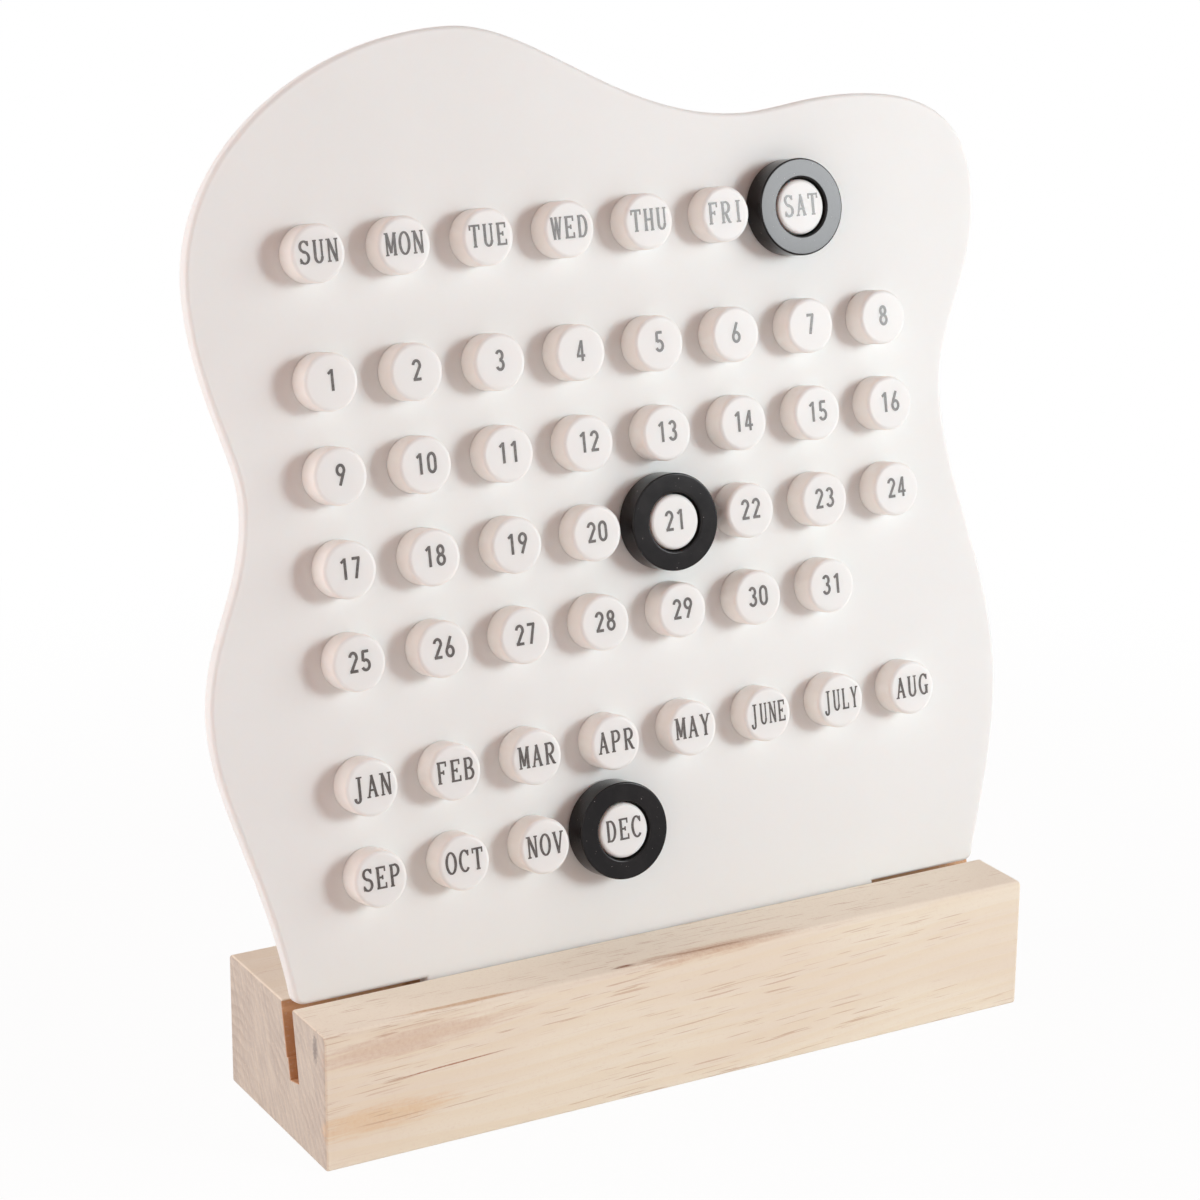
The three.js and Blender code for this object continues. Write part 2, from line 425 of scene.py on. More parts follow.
    def _mark_mask(self, tree: FinishTree, mark: WoodMark) -> Wire:
        """Where a mark shows, with a ragged edge that follows the grain.

        Args:
            tree: The tree to build in.
            mark: The mark.

        Returns:
            The mask, up to the mark's strength.
        """
        turn = Euler([math.radians(angle) for angle in self.slope]).to_matrix()
        centre = tuple(turn @ Vector(mark.centre))
        away = tree.vector_maths("SUBTRACT", tree.millimetres(self.slope), centre)
        reach = tree.vector_maths("LENGTH", tree.vector_maths("DIVIDE", away, mark.reach)).out("Value")
        ragged = tree.noise(tree.scaled(0.09, 1.4, turn=self.slope), 3.0, 0.6) - 0.5
        return (1 - (reach + ragged * 1.3).ramp(0.35, 1.0)) * mark.strength


@dataclass(frozen=True)
class WhitePlastic:
    """White moulded plastic with a satin skin, a short glow under it and, where given, painted glow on its
    walls.

    The depths are in millimetres.
    """

    name: str
    body: Colour
    shade: Colour
    dullness: float = 0.42
    tone_attribute: str = ""
    tone_share: float = 0.3
    cloud_share: float = 0.6
    skin_depth: float = 0.004
    wave_depth: float = 0.012
    glow: float = 0.5
    glow_reach: Colour = (1.0, 0.84, 0.78)
    glow_depth: float = 1.6
    # painted light: a warmer, lighter colour that stands for light glowing through the walls
    wall: Colour | None = None

    @staticmethod
    def _wall_mask(tree: FinishTree) -> Wire:
        """One on the walls that stand square to the board, where the painted glow goes, nought on the faces
        along it.

        Args:
            tree: The tree to build in.

        Returns:
            The mask.
        """
        front = tuple(Lean().matrix().to_3x3().col[2])
        facing = tree.node("ShaderNodeNewGeometry").out("Normal")
        return 1 - tree.vector_maths("DOT_PRODUCT", facing, front).out("Value").size().ramp(0.2, 0.9)

    def material(self) -> bpy.types.Material:
        """Builds the moulded plastic material.

        Returns:
            The material.
        """
        tree = FinishTree(self.name)
        clouds = tree.noise(tree.scaled(0.02), 2.0)
        skin = tree.noise(tree.scaled(2.6), 2.0)
        waves = tree.noise(tree.scaled(0.11), 1.0)
        shaded = clouds.ramp(0.3, 0.7) * self.cloud_share + skin * 0.12
        if self.tone_attribute:
            tone = tree.node("ShaderNodeAttribute", {"attribute_name": self.tone_attribute}).out("Fac")
            shaded = shaded + tone * self.tone_share
        colour = tree.blend(shaded, self.body, self.shade)
        # painted light: the walls are painted warmer and lighter, as if lit through the plastic
        if self.wall:
            colour = tree.blend(self._wall_mask(tree), colour, self.wall)
        roughness = self.dullness + skin * 0.08 + clouds * 0.06
        normal = tree.bump(skin, self.skin_depth, tree.bump(waves, self.wave_depth))
        return tree.surface(Base_Color=colour, Roughness=roughness, Normal=normal,
                            Subsurface_Weight=self.glow, Subsurface_Radius=self.glow_reach,
                            Subsurface_Scale=self.glow_depth * MM)


@dataclass(frozen=True)
class BlackPlastic:
    """Smooth black moulded plastic that reflects little, with a few pale specks of dust."""

    body: Colour = (0.005, 0.005, 0.006)
    worn: Colour = (0.015, 0.014, 0.0145)
    dust: Colour = (0.34, 0.32, 0.31)
    shine: float = 0.22
    tint: tuple[float, float, float, float] = (1.0, 0.955, 0.955, 1.0)
    dullness: float = 0.12
    grain_depth: float = 0.005

    def material(self) -> bpy.types.Material:
        """Builds the black plastic material.

        Returns:
            The material.
        """
        tree = FinishTree("black_ring_plastic")
        clouds = tree.noise(tree.scaled(0.16), 3.0, 0.6)
        grain = tree.noise(tree.scaled(3.4), 3.0, 0.6)
        specks = tree.noise(tree.scaled(2.1), 1.0).ramp(0.755, 0.8)
        colour = tree.blend(clouds.ramp(0.3, 0.75) * 0.7 + grain * 0.3, self.body, self.worn)
        colour = tree.blend(specks * 0.7, colour, self.dust)
        roughness = self.dullness + grain * 0.04 + clouds * 0.03 + specks * 0.3
        return tree.surface(Base_Color=colour, Roughness=roughness, Specular_IOR_Level=self.shine,
                            Specular_Tint=self.tint, Normal=tree.bump(grain, self.grain_depth))


@dataclass(frozen=True)
class PrintingInk:
    """Dark grey printing ink, a little uneven."""

    full: Colour = (0.08, 0.07, 0.066)
    thin: Colour = (0.2, 0.18, 0.17)
    dullness: float = 0.24

    def material(self) -> bpy.types.Material:
        """Builds the ink material.

        Returns:
            The material.
        """
        tree = FinishTree("legend_ink")
        cover = tree.noise(tree.scaled(1.1), 3.0, 0.7)
        colour = tree.blend(cover.ramp(0.4, 0.75) * 0.7, self.full, self.thin)
        return tree.surface(Base_Color=colour, Roughness=self.dullness + cover * 0.14)


@dataclass(frozen=True)
class PaperFloor:
    """A plain pale floor, near white by the object, where it takes the shadow, and white farther out.

    The lift is how near white it is by the object, and the white distances are in millimetres.
    """

    paper: Colour = (0.95, 0.945, 0.94)
    dull_paper: Colour = (0.9, 0.895, 0.89)
    grain_share: float = 0.1
    lift: float = 0.95
    white_from: float = 150.0
    white_at: float = 420.0

    def material(self) -> bpy.types.Material:
        """Builds the floor material.

        Returns:
            The material.
        """
        tree = FinishTree("studio_floor")
        grain = tree.noise(tree.scaled(0.02), 2.0)
        colour = tree.blend(grain * self.grain_share, self.paper, self.dull_paper)
        paper = tree.node("ShaderNodeBsdfDiffuse", {}, {"Color": colour})
        glow = tree.node("ShaderNodeEmission", {}, {"Color": (1.0, 1.0, 1.0, 1.0), "Strength": 1.0})
        reach = tree.vector_maths("LENGTH", tree.millimetres()).out("Value")
        lift = reach.ramp(self.white_from, self.white_at) * (1.0 - self.lift) + self.lift
        return tree.ended(tree.node("ShaderNodeMixShader", {}, {0: tree.viewed() * lift, 1: paper, 2: glow}))


# Making pieces

def mesh_from(shape: bmesh.types.BMesh, name: str, closed: bool = True) -> bpy.types.Mesh:
    """Turns a shape into a mesh and frees it.

    Args:
        shape: The shape.
        name: The mesh's name.
        closed: Whether the shape has an inside, so that its faces are made to point outwards.

    Returns:
        The mesh.
    """
    if closed:
        bmesh.ops.recalc_face_normals(shape, faces=shape.faces)
    mesh = bpy.data.meshes.new(name)
    shape.to_mesh(mesh)
    shape.free()
    return mesh


def piece_from(name: str, mesh: bpy.types.Mesh, material: bpy.types.Material) -> bpy.types.Object:
    """Puts a mesh into the scene as a finished piece at the origin.

    Args:
        name: The piece's name.
        mesh: Its mesh, already in place.
        material: Its only material.

    Returns:
        The new object.
    """
    mesh.name = name
    mesh.materials.clear()
    mesh.materials.append(material)
    piece = bpy.data.objects.new(name, mesh)
    bpy.context.scene.collection.objects.link(piece)
    return piece


def baked(piece: bpy.types.Object) -> bpy.types.Object:
    """Turns a piece's live modifiers into plain mesh and removes them.

    Args:
        piece: The piece with its modifiers.

    Returns:
        The same piece.
    """
    shaped = piece.evaluated_get(bpy.context.evaluated_depsgraph_get())
    mesh = bpy.data.meshes.new_from_object(shaped)
    piece.modifiers.clear()
    old, piece.data = piece.data, mesh
    bpy.data.meshes.remove(old)
    mesh.name = piece.name
    return piece


def softened(piece: bpy.types.Object, crease_degrees: float = 40.0) -> bpy.types.Object:
    """Shades a piece smoothly, keeps its flat faces flat and its real creases sharp.

    Args:
        piece: The piece.
        crease_degrees: The angle above which an edge stays sharp.

    Returns:
        The same piece.
    """
    piece.data.shade_smooth()
    piece.data.set_sharp_from_angle(angle=math.radians(crease_degrees))
    weighted = piece.modifiers.new("flat_faces", "WEIGHTED_NORMAL")
    weighted.keep_sharp = True
    weighted.weight = 100
    return baked(piece)


def turned_mesh(name: str, profile: Sequence[Point], segments: int) -> bpy.types.Mesh:
    """Turns a profile about Z into a closed mesh.

    Args:
        name: The mesh's name.
        profile: Distances from the axis and heights, from the axis round to the axis.
        segments: How many facets go round.

    Returns:
        The mesh.
    """
    shape = bmesh.new()
    rings = []
    for reach, height in profile:
        if reach == 0:
            rings.append([shape.verts.new((0.0, 0.0, height))])
            continue
        angles = (math.tau * step / segments for step in range(segments))
        rings.append([shape.verts.new((reach * math.cos(a), reach * math.sin(a), height)) for a in angles])
    for low, high in zip(rings, rings[1:]):
        for step in range(segments):
            following = (step + 1) % segments
            corners = [low[step % len(low)], low[following % len(low)],
                       high[following % len(high)], high[step % len(high)]]
            shape.faces.new(list(dict.fromkeys(corners)))
    return mesh_from(shape, name)


def quarter_round(corner: Point, radius: float, steps: int) -> list[Point]:
    """The points of a rounded outer corner, from its side to its face, round a sharp corner's place."""
    angles = [math.pi / 2 * step / steps for step in range(steps + 1)]
    return [(corner[0] - radius * (1 - math.cos(a)), corner[1] - radius * (1 - math.sin(a))) for a in angles]


def shaped_by_tree(piece: bpy.types.Object, tree: bpy.types.NodeTree, values: dict[str, object]) -> None:
    """Runs a geometry tree on a piece and keeps the result as plain mesh.

    Args:
        piece: The piece that carries the tree.
        tree: The geometry tree.
        values: The tree's named inputs.
    """
    modifier = piece.modifiers.new(tree.name, "NODES")
    modifier.node_group = tree
    for item in tree.interface.items_tree:
        if item.name in values:
            modifier[item.identifier] = values[item.name]
    material = piece.data.materials[0]
    baked(piece)
    piece.data.materials.clear()
    piece.data.materials.append(material)


class ShapeTree(NodeBuilder):
    """A geometry tree with named inputs that ends in Realize Instances and Set Material."""

    def __init__(self, name: str, values: dict[str, object]) -> None:
        """Makes the tree and its inputs.

        Args:
            name: The tree's name.
            values: What each named input will get, a material or a number, which gives its type.
        """
        group = bpy.data.node_groups.new(name, "GeometryNodeTree")
        super().__init__(group)
        group.interface.new_socket("Geometry", in_out="INPUT", socket_type="NodeSocketGeometry")
        for label, value in values.items():
            kind = "Material" if isinstance(value, bpy.types.Material) else type(value).__name__.title()
            group.interface.new_socket(label, in_out="INPUT", socket_type=f"NodeSocket{kind}")
        group.interface.new_socket("Geometry", in_out="OUTPUT", socket_type="NodeSocketGeometry")
        self.given = self.node("NodeGroupInput")

    def end(self, shape: Wire) -> bpy.types.NodeTree:
        """Realizes the shape, gives it the Material input and ends the tree.

        Args:
            shape: The last shape.

        Returns:
            The finished tree.
        """
        real = self.node("GeometryNodeRealizeInstances", {}, {"Geometry": shape})
        smooth = self.node("GeometryNodeSetShadeSmooth", {}, {"Geometry": real})
        dressed = self.node("GeometryNodeSetMaterial", {},
                            {"Geometry": smooth, "Material": self.given.out("Material")})
        self.node("NodeGroupOutput", {}, {"Geometry": dressed})
        return self.tree


# Where things stand

@dataclass(frozen=True)
class Lean:
    """How the board stands in the block, in millimetres and degrees."""

    side_offset: float = 0.9
    foot: float = -8.05
    block_top: float = 31.2
    degrees: float = 11.4

    def matrix(self) -> Matrix:
        """Takes X across, Y up the board and Z out of its front face to the real place."""
        place = Matrix.Translation(Vector((self.side_offset, self.foot, self.block_top)) * MM)
        return place @ Matrix.Rotation(math.radians(90 - self.degrees), 4, "X")


@dataclass(frozen=True)
class PegLayout:
    """The grid of pegs on the board, in millimetres.

    A group of rows starts at each of the group starts. The missing pegs give, for each short row,
    how many of its last columns have no peg.
    """

    pitch: float = 20.0
    group_step: float = 27.0
    lowest_row: float = 25.276
    columns: int = 8
    rows: int = 7
    group_starts: tuple[int, ...] = (2, 6)
    missing_pegs: tuple[tuple[int, int], ...] = ((0, 4), (2, 1), (6, 1))

    def spot(self, row: int, column: int) -> Point:
        """Where a peg's centre is.

        Args:
            row: Its row, from the lowest at nought.
            column: Its column, from the left at nought.

        Returns:
            The place across and up the board.
        """
        steps = sum(row >= start for start in self.group_starts)
        up = self.lowest_row + row * self.pitch + steps * (self.group_step - self.pitch)
        return (column - (self.columns - 1) / 2) * self.pitch, up


# Sub-assemblies

@dataclass
class WoodenBase:
    """The pine block: one section with its leaning slot, run along X and eased at its edges.

    The slot edges count the section's edges that lie in the slot.
    """

    lean: Lean
    length: float = 181.0
    depth: float = 50.5
    height: float = 31.2
    top_round: float = 1.5
    side_round: float = 0.7
    lip_round: float = 0.3
    board_thickness: float = 4.0
    clearance: float = 0.3
    floor_depth: float = 16.7
    grip_height: float = 5.0
    ledge: float = 0.6
    ledge_round: float = 0.15
    flare: float = 0.4
    edge_facets: int = 5
    slot_edges: range = range(3, 8)
    finish: PineFinish = field(default_factory=PineFinish)

    def build(self) -> bpy.types.Object:
        """Builds the block and hands it to its body.

        Returns:
            The finished block.
        """
        piece = piece_from("pine_base", self._mesh(), self.finish.material())
        bevel = piece.modifiers.new("eased_edges", "BEVEL")
        bevel.limit_method = "WEIGHT"
        bevel.width = self.top_round * MM
        bevel.segments = self.edge_facets
        softened(baked(piece))
        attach(piece, "base")
        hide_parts("wooden_base")
        return piece

    def _slot_point(self, front: float, down: float) -> Point:
        """A place in the slot.

        Args:
            front: Distance in front of the board's front face.
            down: Distance down the board from the block's top.

        Returns:
            The place along Y and Z.
        """
        angle = math.radians(self.lean.degrees)
        return (self.lean.foot - front * math.cos(angle) - down * math.sin(angle),
                self.height + front * math.sin(angle) - down * math.cos(angle))

    def _wall_top(self, front: float) -> Point:
        """Where a slot wall meets the block's top."""
        return self.lean.foot - front / math.cos(math.radians(self.lean.degrees)), self.height

    def _section(self) -> list[tuple[Point, float]]:
        """The section's corners along Y and Z, each with the radius of the edge that runs from it.

        Returns:
            The corners in order round the section.
        """
        half = self.depth / 2
        grip_back = -self.board_thickness - self.clearance
        mouth_back = grip_back - self.ledge
        ledge_down = self.floor_depth - self.grip_height
        return [
            ((-half, 0.0), self.side_round),
            ((half, 0.0), self.side_round),
            ((half, self.height), self.top_round),
            (self._wall_top(mouth_back), self.lip_round),
            (self._slot_point(mouth_back, ledge_down), 0.0),
            (self._slot_point(grip_back, ledge_down), self.ledge_round),
            (self._slot_point(grip_back, self.floor_depth), 0.0),
            (self._slot_point(self.clearance, self.floor_depth), 0.0),
            (self._wall_top(self.clearance + self.flare), self.lip_round),
            ((-half, self.height), self.top_round),
        ]

    def _mesh(self) -> bpy.types.Mesh:
        """The sharp-edged block, with each edge's easing kept as its bevel weight.

        Returns:
            The mesh.
        """
        section = self._section()
        shape = bmesh.new()
        weight = shape.edges.layers.float.new("bevel_weight_edge")
        sides = []
        for across in (-self.length / 2, self.length / 2):
            sides.append([shape.verts.new(Vector((across, deep, up)) * MM) for (deep, up), _ in section])
        for side in sides:
            shape.faces.new(side)
        count = len(section)
        for index in range(count):
            following = (index + 1) % count
            shape.faces.new([sides[0][index], sides[0][following], sides[1][following], sides[1][index]])
        shape.edges.ensure_lookup_table()
        for index, (_, radius) in enumerate(section):
            following = (index + 1) % count
            run = shape.edges.get((sides[0][index], sides[1][index]))
            run[weight] = radius / self.top_round
            ease = self.lip_round if index in self.slot_edges else self.side_round
            for side in sides:
                shape.edges.get((side[index], side[following]))[weight] = ease / self.top_round
        return mesh_from(shape, "pine_base")


@dataclass(frozen=True)
class WaveKnot:
    """A point that the board's wavy edge passes through, and how the curve passes it."""

    across_share: float
    up_share: float
    heading_degrees: float
    before_share: float
    after_share: float

    def place(self, width: float, height: float) -> Vector:
        """The point's place on a board of that width and height."""
        return Vector((self.across_share * width / 2, self.up_share * height))

    def heading(self) -> Vector:
        """The direction in which the edge passes the point."""
        angle = math.radians(self.heading_degrees)
        return Vector((math.cos(angle), math.sin(angle)))


WAVE = (
    WaveKnot(-0.88, 0.015, 97, 0, 0.45),
    WaveKnot(-1, 0.3, 90, 0.28, 0.4),
    WaveKnot(-0.878, 0.534, 90, 0.4, 0.22),
    WaveKnot(-0.955, 0.745, 90, 0.45, 0.36),
    WaveKnot(-0.306, 1, 0, 0.38, 0.28),
    WaveKnot(0.4, 0.886, 0, 0.42, 0.3),
    WaveKnot(0.665, 0.898, 0, 0.35, 0.46),
    WaveKnot(1, 0.78, -90, 0.47, 0.4),
    WaveKnot(0.868, 0.545, -90, 0.35, 0.35),
    WaveKnot(0.963, 0.24, -90, 0.38, 0.35),
    WaveKnot(0.862, 0.015, -108, 0.35, 0),
)


@dataclass
class CalendarBoard:
    """The moulded board: a wavy edge, two shoulders on the block and a tongue in its slot."""

    lean: Lean
    width: float = 205.0
    height: float = 204.88
    thickness: float = 4.0
    edge_round: float = 1.0
    shoulder_round: float = 3.0
    tongue_width: float = 118.0
    tongue_depth: float = 16.4
    tongue_round: float = 2.0
    wave_steps: int = 36
    corner_steps: int = 8
    edge_steps: int = 6
    finish: WhitePlastic = WhitePlastic("board_plastic", (0.838, 0.868, 0.867), (0.808, 0.834, 0.83), 0.5)

    def build(self) -> bpy.types.Object:
        """Builds the board and hands it to its body.

        Returns:
            The finished board.
        """
        mesh = self._mesh()
        mesh.transform(self.lean.matrix())
        piece = softened(piece_from("wavy_board", mesh, self.finish.material()))
        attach(piece, "board")
        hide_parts("calendar_board")
        return piece

    def _bent(self, start: Vector, corner: Vector, end: Vector) -> list[Vector]:
        """The points of a rounded corner between two straight edges."""
        shares = [step / self.corner_steps for step in range(self.corner_steps + 1)]
        return [start * (1 - t) ** 2 + corner * 2 * t * (1 - t) + end * t ** 2 for t in shares]

    def _outline(self) -> list[Vector]:
        """The board's outline in millimetres, clockwise from the lower left shoulder.

        Returns:
            The outline's points.
        """
        points = []
        for knot, following in zip(WAVE, WAVE[1:]):
            start = knot.place(self.width, self.height)
            end = following.place(self.width, self.height)
            span = (end - start).length
            leave = start + knot.heading() * span * knot.after_share
            arrive = end - following.heading() * span * following.before_share
            for step in range(self.wave_steps):
                t = step / self.wave_steps
                points.append(start * (1 - t) ** 3 + leave * 3 * t * (1 - t) ** 2
                              + arrive * 3 * t ** 2 * (1 - t) + end * t ** 3)
        first = WAVE[0].place(self.width, self.height)
        last = WAVE[-1].place(self.width, self.height)
        half, low, turn = self.tongue_width / 2, -self.tongue_depth, self.tongue_round
        points += self._bent(last, Vector((last.x, 0)), Vector((last.x - self.shoulder_round, 0)))
        points.append(Vector((half, 0)))
        points += self._bent(Vector((half, low + turn)), Vector((half, low)), Vector((half - turn, low)))
        points += self._bent(Vector((turn - half, low)), Vector((-half, low)), Vector((-half, low + turn)))
        points.append(Vector((-half, 0)))
        points += self._bent(Vector((first.x + self.shoulder_round, 0)), Vector((first.x, 0)), first)[:-1]
        return points

    @staticmethod
    def _inset(outline: Sequence[Vector], distance: float) -> list[Vector]:
        """The outline drawn in by a distance.

        Args:
            outline: The clockwise outline.
            distance: How far it is drawn in.

        Returns:
            The inner outline, with as many points.
        """
        inner = []
        sharpest = 0.5
        for index, point in enumerate(outline):
            before = (point - outline[index - 1]).normalized()
            after = (outline[(index + 1) % len(outline)] - point).normalized()
            square = Vector((before.y + after.y, -before.x - after.x)).normalized()
            share = max(sharpest, square.dot(Vector((after.y, -after.x))))
            inner.append(point + square * distance / share)
        return inner

    def _mesh(self) -> bpy.types.Mesh:
        """The board in its own frame, with the front face at nought.

        Returns:
            The mesh.
        """
        outline = self._outline()
        corner = quarter_round((0.0, 0.0), self.edge_round, self.edge_steps)
        front = sorted(((level, -inset) for inset, level in corner), reverse=True)
        back = [(-self.thickness - level, inset) for level, inset in reversed(front)]
        shape = bmesh.new()
        loops = []
        for level, inset in front + back:
            drawn = self._inset(outline, inset) if inset else outline
            loops.append([shape.verts.new(Vector((p.x, p.y, level)) * MM) for p in drawn])
        count = len(outline)
        for upper, lower in zip(loops, loops[1:]):
            for index in range(count):
                following = (index + 1) % count
                shape.faces.new([upper[index], upper[following], lower[following], lower[index]])
        shape.faces.new(loops[0])
        shape.faces.new(loops[-1])
        return mesh_from(shape, "wavy_board")


@dataclass
class PrintedPegs:
    """The pegs' round heads, set out on their grid by a geometry tree."""

    lean: Lean
    layout: PegLayout
    radius: float = 6.25
    height: float = 6.4
    face_round: float = 0.95
    segments: int = 72
    round_steps: int = 6
    seed: int = 11
    # the pegs' walls get painted glow, a warmer and lighter colour for light through the plastic
    finish: WhitePlastic = WhitePlastic("peg_plastic", (0.848, 0.878, 0.879), (0.82, 0.844, 0.842), 0.4,
                                        "tone", wall=(0.965, 0.935, 0.895))

    def build(self, nodes: Iterable[str]) -> bpy.types.Object:
        """Builds all the pegs as one piece and hands it to its body.

        Args:
            nodes: The names of the pegs' nodes in the frame.

        Returns:
            The piece.
        """
        corner = (self.radius * MM, self.height * MM)
        profile = [(0.0, 0.0), (self.radius * MM, 0.0),
                   *quarter_round(corner, self.face_round * MM, self.round_steps),
                   (0.0, self.height * MM)]
        head = turned_mesh("peg_head", profile, self.segments)
        piece = piece_from("printed_pegs", head, self.finish.material())
        layout = self.layout
        values = {"Pitch": layout.pitch * MM, "Group Step": layout.group_step * MM,
                  "Lowest Row": layout.lowest_row * MM, "Columns": layout.columns, "Rows": layout.rows,
                  "Seed": self.seed, "Material": piece.data.materials[0]}
        shaped_by_tree(piece, self._tree(values), values)
        piece.data.transform(self.lean.matrix())
        softened(piece)
        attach(piece, "board")
        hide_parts(*nodes)
        return piece

    def _tree(self, values: dict[str, object]) -> bpy.types.NodeTree:
        """Builds the tree that sets a head on each place of the grid and leaves the short rows short.

        Args:
            values: What the tree's named inputs will get.

        Returns:
            The tree.
        """
        tree = ShapeTree("peg_grid", values)
        given = tree.given
        pitch, columns, rows = given.out("Pitch"), given.out("Columns"), given.out("Rows")
        grid = tree.node("GeometryNodeMeshGrid", {}, {
            "Size X": (columns - 1) * pitch, "Size Y": (rows - 1) * pitch,
            "Vertices X": columns, "Vertices Y": rows})
        parts = tree.parts(tree.node("GeometryNodeInputPosition"))
        column = (parts.out("X") / pitch + (columns - 1) * 0.5).rounded()
        row = (parts.out("Y") / pitch + (rows - 1) * 0.5).rounded()
        missing = sum(((row - short).size() < 0.5) * pegs for short, pegs in self.layout.missing_pegs)
        kept = tree.node("GeometryNodeDeleteGeometry", {"domain": "POINT"},
                         {"Geometry": grid, "Selection": column > columns - missing - 0.5})
        groups = sum(row > start - 0.5 for start in self.layout.group_starts)
        widened = (given.out("Group Step") - pitch) * groups
        lift = given.out("Lowest Row") + (rows - 1) * 0.5 * pitch + widened
        shift = tree.node("ShaderNodeCombineXYZ", {}, {"Y": lift})
        placed = tree.node("GeometryNodeSetPosition", {}, {"Geometry": kept, "Offset": shift})
        heads = tree.node("GeometryNodeInstanceOnPoints", {},
                          {"Points": placed, "Instance": given.out("Geometry")})
        chance = tree.node("FunctionNodeRandomValue", {"data_type": "FLOAT"}, {"Seed": given.out("Seed")})
        toned = tree.node("GeometryNodeStoreNamedAttribute", {"data_type": "FLOAT", "domain": "INSTANCE"},
                          {"Geometry": heads, "Name": "tone", "Value": chance})
        return tree.end(toned)


class Lettering(Enum):
    """The two kinds of lettering on the pegs."""

    WORD = "word"
    NUMBER = "number"


@dataclass(frozen=True)
class PenStroke:
    """A pen stroke through points in hundredths of the lettering's height."""

    points: tuple[Point, ...]
    widths: tuple[float, ...]

    def outline(self) -> list[Vector]:
        """The stroke's closed outline.

        Returns:
            The outline's points, down one side and back up the other.
        """
        left, right = [], []
        last = len(self.points) - 1
        for index, here in enumerate(self.points):
            before = Vector(self.points[max(0, index - 1)])
            after = Vector(self.points[min(last, index + 1)])
            along = (after - before).normalized()
            side = Vector((-along.y, along.x)) * self.widths[min(index, len(self.widths) - 1)] / 2
            left.append(Vector(here) + side)
            right.append(Vector(here) - side)
        return right + left[::-1]


def bar(x0: float, y0: float, x1: float, y1: float, width: float) -> PenStroke:
    """A straight stroke of one width."""
    return PenStroke(((x0, y0), (x1, y1)), (width,))


def bow(centre: Point, reach: Point, start: float, end: float, side: float, cap: float,
        steps: int = 20) -> PenStroke:
    """A round stroke on an ellipse, wide where it runs upright and narrow where it runs level.

    Args:
        centre: The ellipse's centre.
        reach: Its half width and half height.
        start: The angle of its first point in degrees.
        end: The angle of its last point.
        side: The stroke's width at the sides.
        cap: Its width at the top and bottom.
        steps: How many straight parts it has.

    Returns:
        The stroke.
    """
    angles = [math.radians(start + (end - start) * step / steps) for step in range(steps + 1)]
    points = tuple((centre[0] + reach[0] * math.cos(a), centre[1] + reach[1] * math.sin(a)) for a in angles)
    widths = tuple(cap + (side - cap) * abs(math.cos(a)) for a in angles)
    return PenStroke(points, widths)


def full_bow(centre: Point, reach: Point, side: float, cap: float) -> list[PenStroke]:
    """A closed round, as two halves that overlap a little where each ends."""
    return [bow(centre, reach, start, start + 182, side, cap) for start in (0, 180)]


